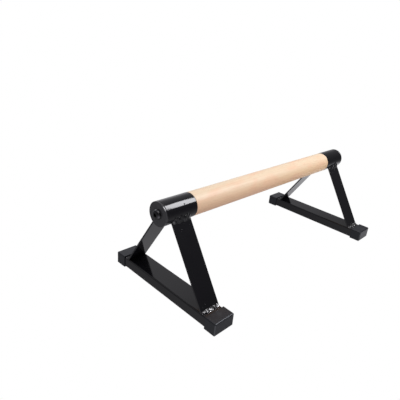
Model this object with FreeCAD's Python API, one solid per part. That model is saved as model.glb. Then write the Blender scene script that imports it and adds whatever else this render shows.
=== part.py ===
import FreeCAD, Part
import math
import os

from FreeCAD import Placement, Rotation, Vector

# Parallette bar: a wooden bar carried at both ends by welded steel stands with slip-over foot caps.
# Millimetres. X runs along the wooden bar, Y along the two bases, and Z up from the floor.
# The origin is on the floor under the middle of the bar.

# Whole object
overall_length = 562.0          # over the two end discs
bar_axis_height = 161.0         # floor to the middle of the wooden bar
base_length = 265.0             # over the two foot caps of one stand
stand_inset = 34.0              # outer face of an end disc to the middle of its stand
cut_overrun = 5.0               # how far a cutting solid passes the face that it opens

# Sockets: round steel tubes that take the ends of the wooden bar
socket_diameter = 42.4
socket_wall = 2.0
socket_length = 64.0
socket_edge_chamfer = 0.4       # at the mouth

# End discs: steel plates as wide as the sockets, drawn against the bar by the end bolts
disc_thickness = 3.0
disc_edge_chamfer = 0.4         # on both faces, so that the inner one leaves a fine groove at the socket

# Wooden bar: turned down at its ends to enter the sockets, so that the grip lies flush with them
grip_step = 0.2                 # the outside of a socket down to the grip beside it
grip_edge_chamfer = 0.6         # at the shoulders
bar_clearance = 0.25            # between the wood and the bore and mouth of a socket
bar_end_chamfer = 1.5

# End bolts: button heads with a hexagon socket
bolt_diameter = 10.0
bolt_length = 28.0              # under the head
bolt_head_diameter = 17.5
bolt_head_height = 5.5
bolt_dome_shares = ((0.62, 0.86), (1.0, 0.54))      # of the head's height and radius, up to the flat on top
bolt_key_width = 6.0            # across the flats
bolt_key_depth = 3.2
bolt_clearance = 0.5            # all round, in the hole of the disc

# Threaded inserts: sleeves screwed into the end grain of the wooden bar
insert_wall = 3.0
insert_length = 25.0
thread_clearance = 0.1          # all round, bolt to insert and insert to wood
pilot_spare_depth = 4.0         # of the hole in the wood, past the insert

# Base tubes: rectangular steel tubes lying across the bar
tube_width = 40.0
tube_height = 20.0
tube_wall = 1.5
tube_corner_radius = 2.5

# Foot caps: rubber boots pushed over the ends of the base tubes
cap_wall = 1.8
cap_depth = 23.0                # along the tube, over all
cap_clearance = 0.1             # all round, between cap and tube
cap_corner_radius = 2.0         # outside, along the tube
cap_edge_chamfer = 0.7          # round the closed end

# Legs: flat steel bars, as wide as the base, leaning together from it to the socket
leg_thickness = 3.0
leg_edge_radius = 0.6
foot_setback = 9.0              # mouth of the foot cap to the outer face of the leg, along the base
leg_apex_reach = 11.5           # axis of the bar to the outer face of the leg, at the axis height
weld_gap = 0.2                  # left between the sawn end of a leg and the socket

# Welds along the outer faces of the legs
foot_weld_size = 4.5            # up the leg, and out along the base
foot_weld_crown = 1.2           # how far the bead swells past a straight fillet
top_weld_drop = 11.0            # down the leg from the socket
top_weld_climb = 7.0            # round the socket from the leg
top_weld_crown = 1.6
weld_end_setback = 1.0          # edge of the leg to the end of a bead

# Places and sizes worked out from the driving ones
half_length = overall_length / 2
stand_x = half_length - stand_inset
disc_inner_x = half_length - disc_thickness
socket_mouth_x = disc_inner_x - socket_length
socket_radius = socket_diameter / 2
bore_radius = socket_radius - socket_wall
spigot_radius = bore_radius - bar_clearance
grip_radius = socket_radius - grip_step
shoulder_x = socket_mouth_x - bar_clearance
bolt_radius = bolt_diameter / 2
insert_bore_radius = bolt_radius + thread_clearance
insert_radius = insert_bore_radius + insert_wall
tube_bottom = cap_wall + cap_clearance
tube_top = tube_bottom + tube_height
tube_half_length = base_length / 2 - cap_wall
cap_mouth_y = base_length / 2 - cap_depth
foot_y = cap_mouth_y - foot_setback
leg_width = tube_width
leg_rise = bar_axis_height - tube_top
leg_run = foot_y - leg_apex_reach
leg_length = math.hypot(leg_rise, leg_run)
leg_lean = math.atan2(leg_run, leg_rise)
leg_up = Vector(0, -math.sin(leg_lean), math.cos(leg_lean))
leg_out = Vector(0, math.cos(leg_lean), math.sin(leg_lean))
bar_axis = Vector(0, 0, bar_axis_height)
along_bar = Vector(1, 0, 0)
along_base = Vector(0, 1, 0)


def edges_along(shape, direction):
    """The straight edges of a shape that run along a direction."""
    straight = [edge for edge in shape.Edges if isinstance(edge.Curve, Part.Line)]
    limit = Part.Precision.angular()
    return [edge for edge in straight if edge.Curve.Direction.cross(direction).Length < limit]


def face_edges(shape, direction):
    """The edges round the face of a shape that lies furthest along a direction."""
    return max(shape.Faces, key=lambda face: face.CenterOfMass.dot(direction)).Edges


def turned(outline):
    """A solid turned about the axis of the bar, from points of place along X and radius."""
    points = [bar_axis + Vector(x, 0, radius) for x, radius in outline]
    face = Part.Face(Part.makePolygon(points + points[:1]))
    return face.revolve(bar_axis, along_bar, 360)


def hexagon_prism(start_x, end_x, width_across_flats):
    """A hexagonal prism on the axis of the bar."""
    corner_radius = width_across_flats / math.sqrt(3)
    turns = [math.radians(60 * step) for step in range(6)]
    corners = [
        bar_axis + Vector(start_x, corner_radius * math.sin(turn), corner_radius * math.cos(turn))
        for turn in turns
    ]
    face = Part.Face(Part.makePolygon(corners + corners[:1]))
    return face.extrude(Vector(end_x - start_x, 0, 0))


def rounded_bar(width, length, height, radius):
    """A bar from the origin along Y, centred on X, with its four long edges rounded."""
    bar = Part.makeBox(width, length, height, Vector(-width / 2, 0, 0))
    return bar.makeFillet(radius, edges_along(bar, along_base))


def round_cutter(radius):
    """A cylinder on the axis of the bar, longer than the object."""
    length = overall_length + 2 * cut_overrun
    return Part.makeCylinder(radius, length, bar_axis - Vector(length / 2, 0, 0), along_bar)


def grip_bar():
    """The wooden bar, with a spigot at each end and a pilot hole for the insert in it."""
    right_half = [
        (shoulder_x - grip_edge_chamfer, grip_radius),
        (shoulder_x, grip_radius - grip_edge_chamfer),
        (shoulder_x, spigot_radius),
        (disc_inner_x - bar_end_chamfer, spigot_radius),
        (disc_inner_x, spigot_radius - bar_end_chamfer),
        (disc_inner_x, 0),
    ]
    left_half = [(-x, radius) for x, radius in reversed(right_half)]
    wood = turned(left_half + right_half)
    pilot_depth = insert_length + pilot_spare_depth
    pilot_start = bar_axis + along_bar * (disc_inner_x - pilot_depth)
    pilot_radius = insert_radius + thread_clearance
    pilot = Part.makeCylinder(pilot_radius, pilot_depth + cut_overrun, pilot_start, along_bar)
    return wood.cut(pilot).cut(across(pilot))


def socket():
    """The right socket: a tube with the outer edge of its mouth broken."""
    return turned([
        (socket_mouth_x, bore_radius),
        (socket_mouth_x, socket_radius - socket_edge_chamfer),
        (socket_mouth_x + socket_edge_chamfer, socket_radius),
        (disc_inner_x, socket_radius),
        (disc_inner_x, bore_radius),
    ])


def end_disc():
    """The right end disc, with the hole for its bolt."""
    hole_radius = bolt_radius + bolt_clearance
    return turned([
        (disc_inner_x, hole_radius),
        (disc_inner_x, socket_radius - disc_edge_chamfer),
        (disc_inner_x + disc_edge_chamfer, socket_radius),
        (half_length - disc_edge_chamfer, socket_radius),
        (half_length, socket_radius - disc_edge_chamfer),
        (half_length, hole_radius),
    ])


def end_bolt():
    """The right end bolt: a plain shank under a domed head with a hexagon socket."""
    head_radius = bolt_head_diameter / 2
    tip_x = half_length - bolt_length
    top_x = half_length + bolt_head_height
    dome = [
        (half_length + bolt_head_height * height_share, head_radius * radius_share)
        for height_share, radius_share in bolt_dome_shares
    ]
    bolt = turned([
        (tip_x, 0),
        (tip_x, bolt_radius),
        (half_length, bolt_radius),
        (half_length, head_radius),
        *dome,
        (top_x, 0),
    ])
    return bolt.cut(hexagon_prism(top_x - bolt_key_depth, top_x + cut_overrun, bolt_key_width))


def thread_insert():
    """The right insert: a sleeve flush with the end of the wood."""
    return turned([
        (disc_inner_x - insert_length, insert_bore_radius),
        (disc_inner_x - insert_length, insert_radius),
        (disc_inner_x, insert_radius),
        (disc_inner_x, insert_bore_radius),
    ])


def base_tube():
    """The right base tube, open at both ends."""
    length = 2 * tube_half_length
    outside = rounded_bar(tube_width, length, tube_height, tube_corner_radius)
    bore = rounded_bar(
        tube_width - 2 * tube_wall,
        length + 2 * cut_overrun,
        tube_height - 2 * tube_wall,
        tube_corner_radius - tube_wall,
    )
    bore.translate(Vector(0, -cut_overrun, tube_wall))
    tube = outside.cut(bore)
    tube.translate(Vector(stand_x, -tube_half_length, tube_bottom))
    return tube


def foot_cap():
    """The right rear foot cap: a boot open towards the middle of the base."""
    seat_width = tube_width + 2 * cap_clearance
    seat_height = tube_height + 2 * cap_clearance
    seat_radius = tube_corner_radius + cap_clearance
    width = seat_width + 2 * cap_wall
    height = seat_height + 2 * cap_wall
    boot = rounded_bar(width, cap_depth, height, cap_corner_radius)
    boot = boot.makeChamfer(cap_edge_chamfer, face_edges(boot, along_base))
    seat = rounded_bar(seat_width, cap_depth - cap_wall + cut_overrun, seat_height, seat_radius)
    seat.translate(Vector(0, -cut_overrun, cap_wall))
    cap = boot.cut(seat)
    cap.translate(Vector(stand_x, cap_mouth_y, 0))
    return cap


def leg():
    """The right rear leg: flat bar sawn level at the base and to the round of the socket at the top."""
    spare = leg_thickness + cut_overrun
    corner = Vector(-leg_width / 2, -leg_thickness, -spare)
    flat = Part.makeBox(leg_width, leg_thickness, leg_length + spare, corner)
    flat = flat.makeFillet(leg_edge_radius, edges_along(flat, Vector(0, 0, 1)))
    flat.Placement = Placement(Vector(stand_x, foot_y, tube_top), Rotation(along_bar, math.degrees(leg_lean)))
    below_base = Part.makeBox(overall_length, base_length, tube_top, Vector(0, 0, 0))
    return flat.cut(below_base).cut(round_cutter(socket_radius + weld_gap))


def bead(root, section):
    """A weld bead along a leg, from the corner that it fills and the toe, swell and toe of its face."""
    length = leg_width - 2 * weld_end_setback
    start = Vector(stand_x - length / 2, 0, 0)
    first, swell, last, corner = [point + start for point in section + [root]]
    face = Part.Arc(first, swell, last).toShape()
    outline = Part.Wire([face, Part.makeLine(last, corner), Part.makeLine(corner, first)])
    return Part.Face(outline).extrude(along_bar * length)


def swollen(first, last, root, crown):
    """A point above the middle of a fillet, raised away from the corner that it fills."""
    middle = (first + last) / 2
    return middle + (middle - root).normalize() * crown


def foot_weld():
    """The bead in the corner between the base tube and the outer face of the right rear leg."""
    root = Vector(0, foot_y, tube_top)
    base_toe = root + along_base * foot_weld_size
    leg_toe = root + leg_up * foot_weld_size
    return bead(root, [base_toe, swollen(base_toe, leg_toe, root, foot_weld_crown), leg_toe])


def top_weld():
    """The bead between the outer face of the right rear leg and the socket that rests on it."""
    face_reach = leg_apex_reach * math.cos(leg_lean)
    chord = math.sqrt(socket_radius ** 2 - face_reach ** 2)
    root = bar_axis + leg_out * face_reach - leg_up * chord
    leg_toe = root - leg_up * top_weld_drop
    climb = math.degrees(top_weld_climb / socket_radius)
    socket_toe = bar_axis + Rotation(along_bar, climb).multVec(root - bar_axis)
    weld = bead(root, [leg_toe, swollen(leg_toe, socket_toe, root, top_weld_crown), socket_toe])
    return weld.cut(round_cutter(socket_radius + weld_gap))


def across(shape):
    """The shape mirrored from one end of the bar to the other."""
    return shape.mirror(Vector(0, 0, 0), along_bar)


def fore_and_aft(shape):
    """The shape mirrored from the rear of its stand to the front."""
    return shape.mirror(Vector(0, 0, 0), along_base)


def save(name, shape):
    """Writes one piece."""
    shape.exportStep(os.path.join("parts", name + ".step"))


os.makedirs("parts", exist_ok=True)
save("grip_bar", grip_bar())

end_pieces = {
    "socket": socket(),
    "end_disc": end_disc(),
    "end_bolt": end_bolt(),
    "thread_insert": thread_insert(),
    "base_tube": base_tube(),
}
for name, shape in end_pieces.items():
    save("right_" + name, shape)
    save("left_" + name, across(shape))

corner_pieces = {
    "leg": leg(),
    "foot_weld": foot_weld(),
    "top_weld": top_weld(),
    "foot_cap": foot_cap(),
}
for name, shape in corner_pieces.items():
    save("right_rear_" + name, shape)
    save("right_front_" + name, fore_and_aft(shape))
    save("left_rear_" + name, across(shape))
    save("left_front_" + name, across(fore_and_aft(shape)))
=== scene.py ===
import math
import random

import bmesh
import bpy
from mathutils import Matrix, Vector, noise


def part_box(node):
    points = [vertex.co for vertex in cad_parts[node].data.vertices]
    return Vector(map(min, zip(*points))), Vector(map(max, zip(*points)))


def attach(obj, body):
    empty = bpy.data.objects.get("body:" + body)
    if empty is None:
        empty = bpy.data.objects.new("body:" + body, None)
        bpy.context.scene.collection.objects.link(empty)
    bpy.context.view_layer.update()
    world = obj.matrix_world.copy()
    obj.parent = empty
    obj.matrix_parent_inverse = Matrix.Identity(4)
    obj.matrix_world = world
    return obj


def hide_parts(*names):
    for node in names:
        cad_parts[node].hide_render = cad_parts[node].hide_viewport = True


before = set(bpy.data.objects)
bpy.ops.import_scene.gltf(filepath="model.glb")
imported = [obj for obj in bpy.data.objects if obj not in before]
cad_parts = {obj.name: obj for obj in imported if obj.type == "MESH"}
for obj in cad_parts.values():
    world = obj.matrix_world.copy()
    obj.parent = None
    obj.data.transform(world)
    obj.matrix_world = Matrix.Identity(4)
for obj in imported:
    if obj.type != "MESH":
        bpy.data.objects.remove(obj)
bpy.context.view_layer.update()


# Base tubes
# Two lengths of rectangular steel tube that lie across the bar, wide face up.
# They are sprayed with gloss black enamel and stoved, which leaves a fine orange peel and a little dust.
class Shade:
    """A socket in a node tree. Arithmetic on it adds Math nodes."""

    def __init__(self, tree, socket=None):
        self.tree = tree
        self.socket = socket

    def node(self, kind, settings, inputs, output=0):
        """Adds a node, with its settings first and then the values or links of its sockets."""
        made = self.tree.nodes.new("ShaderNode" + kind)
        for name, value in settings.items():
            setattr(made, name, value)
        plug(made, inputs)
        return Shade(self.tree, made.outputs[output])

    def math(self, operation, *values):
        return self.node("Math", {"operation": operation}, dict(enumerate(values)))

    def __add__(self, other):
        return self.math("ADD", self, other)

    def __radd__(self, other):
        return self.math("ADD", other, self)

    def __sub__(self, other):
        return self.math("SUBTRACT", self, other)

    def __rsub__(self, other):
        return self.math("SUBTRACT", other, self)

    def __mul__(self, other):
        return self.math("MULTIPLY", self, other)

    def __rmul__(self, other):
        return self.math("MULTIPLY", other, self)

    def noise(self, size, detail):
        """Cloudy noise at these coordinates, with patches of about that size in metres."""
        return self.node("TexNoise", {}, {"Vector": self, "Scale": 1 / size, "Detail": detail})

    def along(self, axis):
        """One of the three coordinates, as X, Y or Z."""
        return self.node("SeparateXYZ", {}, {0: self}, axis)

    def between(self, low, high):
        """0 below one value and 1 above another, with a soft step from one to the other."""
        inputs = {"Value": self, "From Min": low, "From Max": high}
        return self.node("MapRange", {"interpolation_type": "SMOOTHSTEP"}, inputs)

    def mix(self, first, second):
        """The first colour where this value is 0, and the second where it is 1."""
        return self.node("Mix", {"data_type": "RGBA"}, {0: self, 6: first, 7: second}, 2)

    def bump(self, depth):
        """A normal that is tilted as if this value raised the surface by up to that depth."""
        return self.node("Bump", {}, {"Height": self, "Distance": depth})


def plug(node, inputs):
    """Sets or links the sockets of a node."""
    for key, value in inputs.items():
        if isinstance(value, Shade):
            node.id_data.links.new(value.socket, node.inputs[key])
        else:
            node.inputs[key].default_value = value


def new_material(name):
    """A material, its shader, and its object coordinates."""
    material = bpy.data.materials.new(name)
    material.use_nodes = True
    place = Shade(material.node_tree).node("TexCoord", {}, {}, "Object")
    return material, material.node_tree.nodes["Principled BSDF"], place


def black_enamel(name, black, gloss_roughness, haze_roughness, peel_depth):
    """Stoved black enamel, with hazy patches, orange peel and specks of dust."""
    dust_grey = (0.045, 0.045, 0.048, 1)
    dust_roughness = 0.3
    haze_size, peel_size, speck_size = 0.03, 0.0016, 0.0011
    material, shader, place = new_material(name)
    haze = place.noise(haze_size, detail=3).between(0.35, 0.7)
    peel = place.noise(peel_size, detail=2)
    dust = place.noise(speck_size, detail=1).between(0.76, 0.82)
    plug(shader, {
        "Base Color": dust.mix(black, dust_grey),
        "Roughness": gloss_roughness + haze_roughness * haze + dust_roughness * dust,
        "Normal": peel.bump(peel_depth),
        "IOR": 1.5,
    })
    return material


def finish_node(name, material):
    """Gives a CAD node its material."""
    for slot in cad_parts[name].material_slots:
        slot.material = material


ends = {"left": -1, "right": 1}
frame_black = (0.0055, 0.0053, 0.0068, 1)
frame_enamel = black_enamel(
    "frame_enamel", frame_black, gloss_roughness=0.08, haze_roughness=0.07, peel_depth=0.0000015
)
for end in ends:
    finish_node(end + "_base_tube", frame_enamel)


# Legs
# Four lengths of flat steel bar, which lean together from the base to the underside of the socket.
# Each is sawn level at the foot and to the round of the socket at the top.
# Its edges are broken with a file, and it is sprayed with the frame.
sides = {"front": -1, "rear": 1}
leg_edge_radius = 0.0004
leg_edge_turn = math.radians(40)
merge_distance = 0.000001
for end in ends:
    for side in sides:
        name = f"{end}_{side}_leg"
        finish_node(name, frame_enamel)
        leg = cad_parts[name]
        leg.modifiers.new("merged_corners", "WELD").merge_threshold = merge_distance
        broken_edges = leg.modifiers.new("broken_edges", "BEVEL")
        broken_edges.width = leg_edge_radius
        broken_edges.segments = 2
        broken_edges.angle_limit = leg_edge_turn


# Sockets
# Two short lengths of round steel tube, which the legs carry and the ends of the wooden bar go into.
# Their rims are deburred and they are sprayed with the frame. One nib of dust shows under the enamel.
bar_low, bar_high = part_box("grip_bar")
axis_height = (bar_low.z + bar_high.z) / 2
axis = Vector((0, 0, axis_height))
round_steps = 160


def turned(outline, closed, steps):
    """A mesh turned about the axis of the bar from points of place along X and radius."""
    bm = bmesh.new()
    points = [bm.verts.new((x, 0, axis_height + radius)) for x, radius in outline]
    following = points[1:] + points[:1] if closed else points[1:]
    for point, after in zip(points, following):
        bm.edges.new((point, after))
    bmesh.ops.spin(
        bm, geom=bm.verts[:] + bm.edges[:], cent=axis, axis=(1, 0, 0),
        angle=math.tau, steps=steps, use_merge=True,
    )
    bmesh.ops.remove_doubles(bm, verts=bm.verts[:], dist=merge_distance)
    bmesh.ops.recalc_face_normals(bm, faces=bm.faces[:])
    return bm


def round_edges(bm, edges, radius, segments):
    """Rounds edges of a mesh."""
    bmesh.ops.bevel(
        bm, geom=edges, offset=radius, segments=segments, profile=0.5, affect="EDGES", material=-1
    )


def sharp_edges(bm, angle=math.radians(35)):
    """The edges where a mesh turns by more than an angle."""
    return [edge for edge in bm.edges if edge.calc_face_angle(0) > angle]


def piece(name, bm, material, slot, *stands_for):
    """A finished piece that stands for CAD nodes and rides with them."""
    for face in bm.faces:
        face.smooth = True
    for edge in sharp_edges(bm):
        edge.smooth = False
    mesh = bpy.data.meshes.new(name)
    bm.to_mesh(mesh)
    bm.free()
    mesh.materials.append(material)
    made = bpy.data.objects.new(name, mesh)
    made.modifiers.new("even_shading", "WEIGHTED_NORMAL").keep_sharp = True
    bpy.context.scene.collection.objects.link(made)
    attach(made, "root")
    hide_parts(*stands_for)


socket_wall = 0.002
socket_rim_radius = 0.0007
nib_along = -0.24
nib_turn = math.radians(49.5)
nib_radius = 0.0014
nib_flatness = 0.45
for end, sign in ends.items():
    low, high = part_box(end + "_socket")
    radius = (high.z - low.z) / 2
    mouth, back = sorted((abs(low.x), abs(high.x)))
    bore = radius - socket_wall
    outline = [(sign * mouth, bore), (sign * mouth, radius), (sign * back, radius), (sign * back, bore)]
    tube = turned(outline, closed=True, steps=round_steps)
    round_edges(tube, sharp_edges(tube), socket_rim_radius, segments=3)
    if end == "left":
        to_nib = Matrix.Translation(axis + Vector((nib_along, 0, 0))) @ Matrix.Rotation(nib_turn, 4, "X")
        on_tube = to_nib @ Matrix.Translation((0, 0, radius)) @ Matrix.Diagonal((1, 1, nib_flatness, 1))
        bmesh.ops.create_icosphere(tube, subdivisions=3, radius=nib_radius, matrix=on_tube)
    piece(end + "_socket_tube", tube, frame_enamel, "frame_paint", end + "_socket")


# Foot welds
# A bead along the outer foot of each leg, laid by hand in one quick pass and painted over as it is.
# Its ripples are uneven, drops of spatter lie beside it, and its paint is chipped to bright steel low down.
leg_apex_reach = 0.0115
weld_rings = 120
weld_segments = 28
weld_sink = 0.0001
weld_seeds = 50
spatter_radius = 0.0009
smallest_drop = 0.4


def leg_lines(end, side):
    """The foot of a leg's outer face, and the directions up the leg and out from that face."""
    low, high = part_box(f"{end}_{side}_leg")
    reach = max(abs(low.y), abs(high.y))
    foot = Vector(((low.x + high.x) / 2, sides[side] * reach, low.z))
    lean = math.atan2(reach - leg_apex_reach, axis_height - low.z)
    up = Vector((0, -sides[side] * math.sin(lean), math.cos(lean)))
    out = Vector((0, sides[side] * math.cos(lean), math.sin(lean)))
    return foot, up, out


def lumpy_rod(root, length, spread, rise, pitch, roughness, seed):
    """A rod of weld along X, with its ripples and lumps. Spread and rise are half its section, as vectors."""
    lump_length, grit_length, wander_length = 1.6 * pitch, 0.45 * pitch, 2.5 * pitch
    lump_scale, grit_scale = 1.3, 4
    ripple_share, grit_share, wander_share = 0.35, 0.5, 0.12
    ripple_bow = 0.5
    end_bluntness = 7
    end_size = 0.03
    bm = bmesh.new()
    lying = Matrix.Rotation(math.pi / 2, 4, "Y")
    bmesh.ops.create_cone(
        bm, cap_ends=True, segments=weld_segments, radius1=1, radius2=1, depth=1, matrix=lying
    )
    lengthwise = [edge for edge in bm.edges if abs(edge.verts[0].co.x - edge.verts[1].co.x) > 0.5]
    bmesh.ops.subdivide_edges(bm, edges=lengthwise, cuts=weld_rings)
    for vert in bm.verts:
        along, across, upward = vert.co
        place = along * length
        lump = noise.noise(Vector((place / lump_length, lump_scale * across, lump_scale * upward + seed)))
        ripple = math.sin(math.tau * (place / pitch + ripple_bow * across * across + lump))
        grit = noise.noise(Vector((place / grit_length, grit_scale * across, grit_scale * upward + seed)))
        end_taper = math.sqrt(max(end_size, 1 - abs(2 * along) ** end_bluntness))
        swell = end_taper * (1 + roughness * (ripple_share * ripple + lump + grit_share * grit))
        wander = wander_share * noise.noise(Vector((place / wander_length, seed, 0)))
        vert.co = root + Vector((place, 0, 0)) + spread * (across * swell + wander) + rise * (upward * swell)
    if spread.cross(rise).x < 0:
        bmesh.ops.reverse_faces(bm, faces=bm.faces[:])
    return bm


def spatter(bm, patch, count, draw):
    """Drops of weld metal that have stuck to a face, with the smallest the most common."""
    corner, first, second = patch
    for _ in range(count):
        size = spatter_radius * draw.uniform(smallest_drop, 1) ** 2
        place = corner + first * draw.random() + second * draw.random()
        bmesh.ops.create_icosphere(bm, subdivisions=2, radius=size, matrix=Matrix.Translation(place))


def cut_under(bm, point, normal):
    """Cuts a mesh along a flat face, just under it, and closes what is left outside."""
    cut = bmesh.ops.bisect_plane(
        bm, geom=bm.verts[:] + bm.edges[:] + bm.faces[:],
        plane_co=point - normal * weld_sink, plane_no=normal, clear_inner=True,
    )["geom_cut"]
    bmesh.ops.holes_fill(bm, edges=[part for part in cut if isinstance(part, bmesh.types.BMEdge)])


def painted_weld(name, bare_height):
    """Gloss enamel over a rough bead, dull in its pits and chipped to bright steel below a height."""
    pit_grey = (0.012, 0.012, 0.013, 1)
    steel = (0.9, 0.9, 0.92, 1)
    grit_size, pit_size, chip_size = 0.0012, 0.0024, 0.0027
    grit_depth = 0.00005
    chip_shift = 3.9
    chip_fade = 0.0015
    material, shader, place = new_material(name)
    grit = place.noise(grit_size, detail=3)
    pits = place.noise(pit_size, detail=2).between(0.45, 0.7)
    covered = place.along("Z").between(bare_height - chip_fade, bare_height)
    shifted = place.node("Mapping", {}, {"Vector": place, "Location": (chip_shift, 0, 0)})
    bare = shifted.noise(chip_size, detail=1).between(0.47, 0.51) * (1 - covered)
    plug(shader, {
        "Base Color": bare.mix(pits.mix(frame_black, pit_grey), steel),
        "Metallic": bare,
        "Roughness": 0.09 + 0.25 * pits + 0.1 * bare,
        "Normal": grit.bump(grit_depth),
        "IOR": 1.5,
    })
    return material


base_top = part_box("left_base_tube")[1].z
chipped_heights = {"left_front": 0.0036, "left_rear": 0.001, "right_front": 0.0019, "right_rear": 0.001}
foot_weld_spread = 0.0036
foot_weld_rise = 0.0036
foot_weld_pitch = 0.0026
foot_weld_roughness = 0.3
foot_spatter_gap = 0.003
base_spatter_reach = 0.004
base_spatter_count = 5
leg_spatter_reach = 0.009
leg_spatter_count = 7
draw = random.Random(5)
for end in ends:
    for side, sign in sides.items():
        name = f"{end}_{side}_foot_weld"
        low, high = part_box(name)
        foot, up, out = leg_lines(end, side)
        base_out = Vector((0, sign, 0))
        width = high.x - low.x
        bead = lumpy_rod(
            foot, width,
            (base_out - up).normalized() * foot_weld_spread,
            (base_out + up).normalized() * foot_weld_rise,
            foot_weld_pitch, foot_weld_roughness, seed=draw.uniform(0, weld_seeds),
        )
        edge = foot - Vector((width / 2, 0, 0))
        across = Vector((width, 0, 0))
        on_base = (edge + base_out * foot_spatter_gap, across, base_out * base_spatter_reach)
        on_leg = (edge + up * foot_spatter_gap, across, up * leg_spatter_reach)
        spatter(bead, on_base, base_spatter_count, draw)
        spatter(bead, on_leg, leg_spatter_count, draw)
        cut_under(bead, foot, Vector((0, 0, 1)))
        cut_under(bead, foot, out)
        paint = painted_weld(name + "_paint", base_top + chipped_heights[f"{end}_{side}"])
        piece(name + "_bead", bead, paint, "weld_metal", name)


# Top welds
# Wide patches of weld between the outer face of each leg and the socket, built up in short runs.
# They are painted with the frame, and their lumps and pits are left as they are.
top_weld_spread = 0.0105
top_weld_rise = 0.0042
top_weld_pitch = 0.011
top_weld_roughness = 0.34
top_spatter_gap = 0.008
top_spatter_reach = 0.012
top_spatter_count = 8
whole_weld = painted_weld("whole_weld", 0)
socket_low, socket_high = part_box("left_socket")
socket_radius = (socket_high.z - socket_low.z) / 2
for end in ends:
    for side, sign in sides.items():
        name = f"{end}_{side}_top_weld"
        low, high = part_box(name)
        foot, up, out = leg_lines(end, side)
        reach = (foot - axis).dot(out)
        radial = out * reach - up * math.sqrt(socket_radius ** 2 - reach ** 2)
        root = axis + radial + Vector((foot.x, 0, 0))
        tangent = Vector((0, -radial.z, radial.y)).normalized() * sign
        width = high.x - low.x
        bead = lumpy_rod(
            root, width,
            (-up - tangent).normalized() * top_weld_spread,
            (-up + tangent).normalized() * top_weld_rise,
            top_weld_pitch, top_weld_roughness, seed=draw.uniform(0, weld_seeds),
        )
        edge = root - Vector((width / 2, 0, 0))
        on_leg = (edge - up * top_spatter_gap, Vector((width, 0, 0)), -up * top_spatter_reach)
        spatter(bead, on_leg, top_spatter_count, draw)
        half_turn = top_weld_spread / socket_radius / 2
        chord_normal = radial.normalized() * math.cos(half_turn) + tangent * math.sin(half_turn)
        cut_under(bead, foot, out)
        cut_under(bead, root, chord_normal)
        piece(name + "_bead", bead, whole_weld, "weld_metal", name)


# Foot caps
# Moulded rubber boots pushed over the ends of the base tubes, which stand on them.
# Their edges are rounded by the mould, and the rubber has a fine, slightly dusty grain.
def black_rubber():
    """Smooth moulded rubber with a fine grain and dusty patches."""
    black = (0.0115, 0.012, 0.0148, 1)
    dusty = (0.018, 0.0187, 0.0218, 1)
    dust_size, grain_size = 0.012, 0.0007
    grain_depth = 0.000006
    material, shader, place = new_material("cap_rubber")
    dust = place.noise(dust_size, detail=4).between(0.45, 0.75)
    grain = place.noise(grain_size, detail=3)
    plug(shader, {
        "Base Color": dust.mix(black, dusty),
        "Roughness": 0.27 + 0.1 * dust + 0.04 * grain,
        "Normal": grain.bump(grain_depth),
        "IOR": 1.5,
        "Specular IOR Level": 0.42,
        "Specular Tint": (0.9, 0.94, 1, 1),
    })
    return material


cap_wall = 0.0018
cap_corner_radius = 0.002
cap_end_radius = 0.002
cap_mouth_radius = 0.0004
rubber = black_rubber()
for end in ends:
    for side, sign in sides.items():
        name = f"{end}_{side}_foot_cap"
        low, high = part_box(name)
        size = high - low
        boot = bmesh.new()
        fitted = Matrix.Translation((low + high) / 2) @ Matrix.Diagonal((*size, 1))
        bmesh.ops.create_cube(boot, size=1, matrix=fitted)
        lengthwise = [
            edge for edge in boot.edges
            if abs(edge.verts[0].co.y - edge.verts[1].co.y) > size.y / 2
        ]
        round_edges(boot, lengthwise, cap_corner_radius, segments=7)
        closed_end = max(boot.faces, key=lambda face: sign * face.calc_center_median().y)
        round_edges(boot, closed_end.edges[:], cap_end_radius, segments=4)
        mouth = min(boot.faces, key=lambda face: sign * face.calc_center_median().y)
        bmesh.ops.inset_region(boot, faces=[mouth], thickness=cap_wall, use_even_offset=True)
        bottom = bmesh.ops.extrude_discrete_faces(boot, faces=[mouth])["faces"]
        inward = Vector((0, sign * (size.y - cap_wall), 0))
        bmesh.ops.translate(boot, verts=bottom[0].verts[:], vec=inward)
        rim_y = low.y if sign > 0 else high.y
        rim = [
            edge for edge in sharp_edges(boot)
            if all(abs(vert.co.y - rim_y) < cap_mouth_radius / 4 for vert in edge.verts)
        ]
        round_edges(boot, rim, cap_mouth_radius, segments=2)
        piece(name + "_boot", boot, rubber, "cap_rubber", name)


# Wooden bar
# One round bar of pale beech, turned and sanded, with its ends bored for the inserts.
# The grain runs along it with short flecks, under a thin satin varnish.
grip_radius = (bar_high.z - bar_low.z) / 2
shoulder_reach = abs(socket_high.x)


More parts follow.
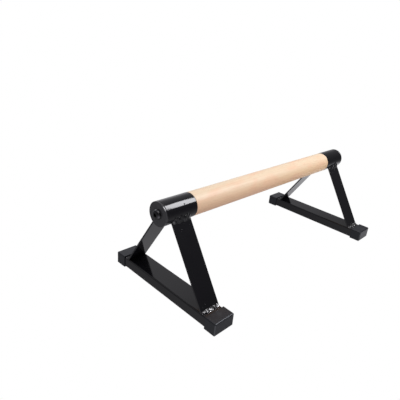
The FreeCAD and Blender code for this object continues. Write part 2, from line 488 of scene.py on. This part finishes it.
def varnished_beech():
    """Pale beech: warmer below, with a painted sheen of paler cream above, pink figure, growth lines and
    flecks along X.
    """
    rosy = (0.88, 0.55, 0.345, 1)
    honey = (0.88, 0.575, 0.315, 1)
    painted_sheen_cream = (0.745, 0.595, 0.43, 1)
    pink = (0.80, 0.48, 0.32, 1)
    line_brown = (0.62, 0.39, 0.24, 1)
    fleck_brown = (0.47, 0.29, 0.18, 1)
    sheen_start_below, sheen_full_above = 0.6 * grip_radius, 1.1 * grip_radius
    figure_size, line_size, fleck_size = 0.016, 0.0022, 0.0008
    figure_stretch, line_stretch, fleck_stretch = 3, 40, 7
    figure_share, line_share, fleck_share = 0.5, 0.25, 0.35
    fleck_rise = 0.6
    grain_depth = 0.00003
    material, shader, place = new_material("varnished_beech")

    def along_grain(stretch):
        """These coordinates, drawn out along the bar."""
        return place.node("Mapping", {}, {"Vector": place, "Scale": (1 / stretch, 1, 1)})

    # Painted light: the top is painted a paler cream as a sheen from the light above, and the warm colours
    # below are set bright in place of light from below.
    painted_sheen_top = place.along("Z").between(axis_height - sheen_start_below, axis_height + sheen_full_above)
    length = place.along("X").between(-shoulder_reach, shoulder_reach)
    figure = along_grain(figure_stretch).noise(figure_size, detail=2).between(0.42, 0.68)
    lines = along_grain(line_stretch).noise(line_size, detail=3).between(0.42, 0.72)
    flecks = along_grain(fleck_stretch).noise(fleck_size, detail=1).between(0.64, 0.74)
    colour = painted_sheen_top.mix(length.mix(rosy, honey), painted_sheen_cream)
    colour = (figure_share * figure).mix(colour, pink)
    colour = (line_share * lines).mix(colour, line_brown)
    colour = (fleck_share * flecks).mix(colour, fleck_brown)
    plug(shader, {
        "Base Color": colour,
        "Roughness": 0.42 + 0.1 * lines,
        "Normal": (lines + fleck_rise * flecks).bump(grain_depth),
        "Coat Weight": 0.12,
        "Coat Roughness": 0.3,
        "IOR": 1.4,
    })
    return material


bar_clearance = 0.00025
shoulder_round = 0.0008
pilot_clearance = 0.0001
pilot_overrun = 0.004
spigot_radius = socket_radius - socket_wall - bar_clearance
shoulder = socket_high.x + bar_clearance
pilot_low, pilot_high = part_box("right_thread_insert")
pilot_radius = (pilot_high.z - pilot_low.z) / 2 + pilot_clearance
pilot_floor = pilot_low.x - pilot_overrun
right_half = [
    (-shoulder, grip_radius),
    (-shoulder, spigot_radius),
    (bar_high.x, spigot_radius),
    (bar_high.x, pilot_radius),
    (pilot_floor, pilot_radius),
    (pilot_floor, 0),
]
left_half = [(-x, radius) for x, radius in reversed(right_half)]
wood = turned(left_half + right_half, closed=False, steps=round_steps)
rims = [
    edge for edge in sharp_edges(wood)
    if (edge.verts[0].co.yz - axis.yz).length > grip_radius - bar_clearance
]
round_edges(wood, rims, shoulder_round, segments=4)
piece("wooden_bar", wood, varnished_beech(), "bar_wood", "grip_bar")


# Threaded inserts
# Turned brass sleeves, screwed into the end grain of the bar and hidden by the discs.
# Turning leaves fine rings round them.
def turned_brass():
    """Plain brass with rings left by the tool."""
    dull = (0.55, 0.40, 0.17, 1)
    bright = (0.72, 0.56, 0.28, 1)
    ring_size = 0.0004
    ring_depth = 0.00002
    round_scale = 0.02
    material, shader, place = new_material("turned_brass")
    drawn_out = place.node("Mapping", {}, {"Vector": place, "Scale": (1, round_scale, round_scale)})
    rings = drawn_out.noise(ring_size, detail=2)
    plug(shader, {
        "Base Color": rings.mix(dull, bright),
        "Metallic": 1,
        "Roughness": 0.28 + 0.15 * rings,
        "Normal": rings.bump(ring_depth),
    })
    return material


brass = turned_brass()
for end in ends:
    finish_node(end + "_thread_insert", brass)


# End discs
# Steel discs as wide as the sockets, drawn against their ends by the bolts.
# Their edges are broken, leaving a fine groove at the socket, and their duller satin enamel is grey as
# painted sheen.
disc_face_radius = 0.00015
disc_back_radius = 0.001
disc_hole_radius = 0.0055
# Painted light: this grey, much lighter than the frame's black, stands in for the room's reflection on the
# discs' faces.
disc_painted_sheen_grey = (0.040, 0.0397, 0.043, 1)
disc_enamel = black_enamel(
    "disc_enamel", disc_painted_sheen_grey, gloss_roughness=0.13, haze_roughness=0.06, peel_depth=0.000004
)
for end in ends:
    low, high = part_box(end + "_end_disc")
    radius = (high.z - low.z) / 2
    outline = [(low.x, disc_hole_radius), (low.x, radius), (high.x, radius), (high.x, disc_hole_radius)]
    disc = turned(outline, closed=True, steps=round_steps)
    middle = abs(low.x + high.x) / 2
    back_edges = [edge for edge in sharp_edges(disc) if abs(edge.verts[0].co.x) < middle]
    round_edges(disc, back_edges, disc_back_radius, segments=4)
    face_edges = [edge for edge in sharp_edges(disc) if abs(edge.verts[0].co.x) > middle]
    round_edges(disc, face_edges, disc_face_radius, segments=2)
    piece(end + "_disc_plate", disc, disc_enamel, "disc_paint", end + "_end_disc")


# End bolts
# Button-head bolts with a hexagon socket, blackened in hot oxide and lightly oiled.
# They pass through the discs into the inserts and pull the stands onto the wooden bar.
nick_radius = 0.003
nick_places = [axis + Vector((-0.2823, 0.0022, 0.0082)), axis + Vector((-0.2823, 0.0052, 0.0068))]


def black_oxide():
    """Blackened steel, a little browner and duller in patches, with nicks rubbed bright."""
    steel = (0.9, 0.9, 0.92, 1)
    blue_black = (0.045, 0.045, 0.049, 1)
    brown_black = (0.06, 0.058, 0.06, 1)
    patch_size, grain_size = 0.004, 0.0005
    grain_depth = 0.00001
    material, shader, place = new_material("black_oxide")
    patches = place.noise(patch_size, detail=3).between(0.4, 0.7)
    grain = place.noise(grain_size, detail=2)
    nick = 0
    for spot in nick_places:
        away = place.node("VectorMath", {"operation": "DISTANCE"}, {0: place, 1: spot}, "Value")
        nick = 1 - away.between(nick_radius / 2, nick_radius) + nick
    plug(shader, {
        "Base Color": nick.mix(patches.mix(blue_black, brown_black), steel),
        "Metallic": 1,
        "Roughness": 0.24 + 0.08 * patches,
        "Normal": grain.bump(grain_depth),
    })
    return material


bolt_steps = 96
bolt_shank_radius = 0.005
bolt_key_width = 0.006
bolt_key_corner = bolt_key_width / math.sqrt(3)
bolt_key_depth = 0.0032
bolt_point_depth = 0.0042
bolt_rim_share = 0.12
bolt_flat_share = 0.52
dome_steps = 9
hexagon_turn = math.radians(60)
oxide = black_oxide()
for end, sign in ends.items():
    low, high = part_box(end + "_end_bolt")
    disc_low, disc_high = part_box(end + "_end_disc")
    seat = max(abs(disc_low.x), abs(disc_high.x))
    top = max(abs(low.x), abs(high.x))
    tip = min(abs(low.x), abs(high.x))
    head = (high.z - low.z) / 2
    rim = seat + (top - seat) * bolt_rim_share
    flat = head * bolt_flat_share
    quarter = [math.pi / 2 * step / dome_steps for step in range(dome_steps + 1)]
    dome = [(rim + (top - rim) * math.sin(turn), flat + (head - flat) * math.cos(turn)) for turn in quarter]
    outline = [
        (tip, 0),
        (tip, bolt_shank_radius),
        (seat, bolt_shank_radius),
        (seat, head),
        *dome,
        (top, bolt_key_corner),
        (top - bolt_key_depth, bolt_key_corner),
        (top - bolt_point_depth, 0),
    ]
    bolt = turned([(sign * x, radius) for x, radius in outline], closed=False, steps=bolt_steps)
    for vert in bolt.verts:
        spoke = Vector((0, vert.co.y, vert.co.z - axis_height))
        if abs(spoke.length - bolt_key_corner) < bolt_key_corner / 100:
            turn = math.atan2(spoke.y, spoke.z) % hexagon_turn - hexagon_turn / 2
            vert.co -= spoke * (1 - math.cos(hexagon_turn / 2) / math.cos(turn))
    piece(end + "_button_bolt", bolt, oxide, "bolt_steel", end + "_end_bolt")


# Studio
# A plain white floor and sweep, lit from all round by soft boxes and bounced light.
# The floor and the sweep are only a ground for the picture, so no light of their own falls on the bar.
def white_ground(name, bm):
    """A plain white surface of the stage."""
    mesh = bpy.data.meshes.new(name)
    bm.to_mesh(mesh)
    bm.free()
    material = bpy.data.materials.new(name)
    material.use_nodes = True
    tree = material.node_tree
    glow = Shade(tree).node("Emission", {}, {"Color": (1, 1, 1, 1)})
    tree.links.new(glow.socket, tree.nodes["Material Output"].inputs["Surface"])
    mesh.materials.append(material)
    made = bpy.data.objects.new(name, mesh)
    bpy.context.scene.collection.objects.link(made)
    for rays in ("diffuse", "glossy", "transmission", "volume_scatter", "shadow"):
        setattr(made, "visible_" + rays, False)


floor_half = 15
sweep_radius = 20
plane = bmesh.new()
bmesh.ops.create_grid(plane, x_segments=1, y_segments=1, size=floor_half)
white_ground("floor", plane)
ball = bmesh.new()
bmesh.ops.create_uvsphere(ball, u_segments=32, v_segments=16, radius=sweep_radius)
white_ground("sweep", ball)


def heading(azimuth, elevation):
    """A direction from degrees round from +X towards +Y, and degrees up."""
    turn, lift = math.radians(azimuth), math.radians(elevation)
    return Vector((math.cos(lift) * math.cos(turn), math.cos(lift) * math.sin(turn), math.sin(lift)))


# Each is a direction, a brightness and how narrow it is.
bounced_light = {
    "floor towards the camera": (heading(-120, -40), 2.18, 9),
    "floor at the left end": (heading(180, -40), 0.73, 9),
    "floor in front": (heading(-60, -40), 0.24, 9),
    "floor below": (heading(0, -70), 0.45, 9),
    "floor beyond the bar": (heading(0, -22), 1.7, 30),
    "wall behind": (heading(72, 58), 0.46, 9),
    "foot of the wall": (heading(50, 8), 0.6, 16),
    "room behind": (heading(90, 0), 0.33, 2),
    "ceiling": (heading(0, 90), 0.33, 2),
}
bounce_tint = (0.97, 0.96, 1, 1)
room_glow = 0.004
world = bpy.data.worlds.new("studio")
bpy.context.scene.world = world
world.use_nodes = True
air = Shade(world.node_tree).node("TexCoord", {}, {}, "Generated")
glow = room_glow
for direction, brightness, narrowness in bounced_light.values():
    facing = air.node("VectorMath", {"operation": "DOT_PRODUCT"}, {0: air, 1: direction}, "Value")
    glow = brightness * air.math("EXPONENT", narrowness * facing - narrowness) + glow
plug(world.node_tree.nodes["Background"], {"Color": bounce_tint, "Strength": glow})


def soft_box(name, target, azimuth, elevation, roll, distance, width, height, power, colour):
    """A rectangular light that faces a place, seen from it in a direction and turned by a roll."""
    light = bpy.data.lights.new(name, "AREA")
    light.shape = "RECTANGLE"
    light.size = width
    light.size_y = height
    light.energy = power
    light.color = colour
    made = bpy.data.objects.new(name, light)
    bpy.context.scene.collection.objects.link(made)
    direction = heading(azimuth, elevation)
    aim = direction.to_track_quat("Z", "Y").to_matrix().to_4x4()
    turn = Matrix.Rotation(math.radians(roll), 4, "Z")
    made.matrix_world = Matrix.Translation(target + direction * distance) @ aim @ turn
    made.visible_camera = False


near_socket = (socket_low + socket_high) / 2
soft_box(
    "strip_light", near_socket, azimuth=-31, elevation=42.4, roll=65, distance=1.5,
    width=0.83, height=0.4, power=13.5, colour=(0.97, 0.97, 1),
)
soft_box(
    "overhead_light", axis, azimuth=-90, elevation=80, roll=0, distance=2.2,
    width=2, height=2, power=30, colour=(1, 0.99, 0.97),
)


# Camera
# The photographer stands off the left front corner, above the bar, and looks down along it.
# The picture is tilted a little.
sensor_width = 36
focal_length = 35.394
camera_place = Vector((-0.63544, -0.42991, 0.43471))
camera_pan = math.radians(-46.127)
camera_tilt = math.radians(66.3)
camera_bank = math.radians(4.908)
camera = bpy.data.cameras.new("camera")
camera.sensor_width = sensor_width
camera.lens = focal_length
viewer = bpy.data.objects.new("camera", camera)
bpy.context.scene.collection.objects.link(viewer)
pan = Matrix.Rotation(camera_pan, 4, "Z")
tilt = Matrix.Rotation(camera_tilt, 4, "X")
bank = Matrix.Rotation(camera_bank, 4, "Z")
viewer.matrix_world = Matrix.Translation(camera_place) @ pan @ tilt @ bank
bpy.context.scene.camera = viewer
bpy.context.scene.view_settings.view_transform = "Standard"
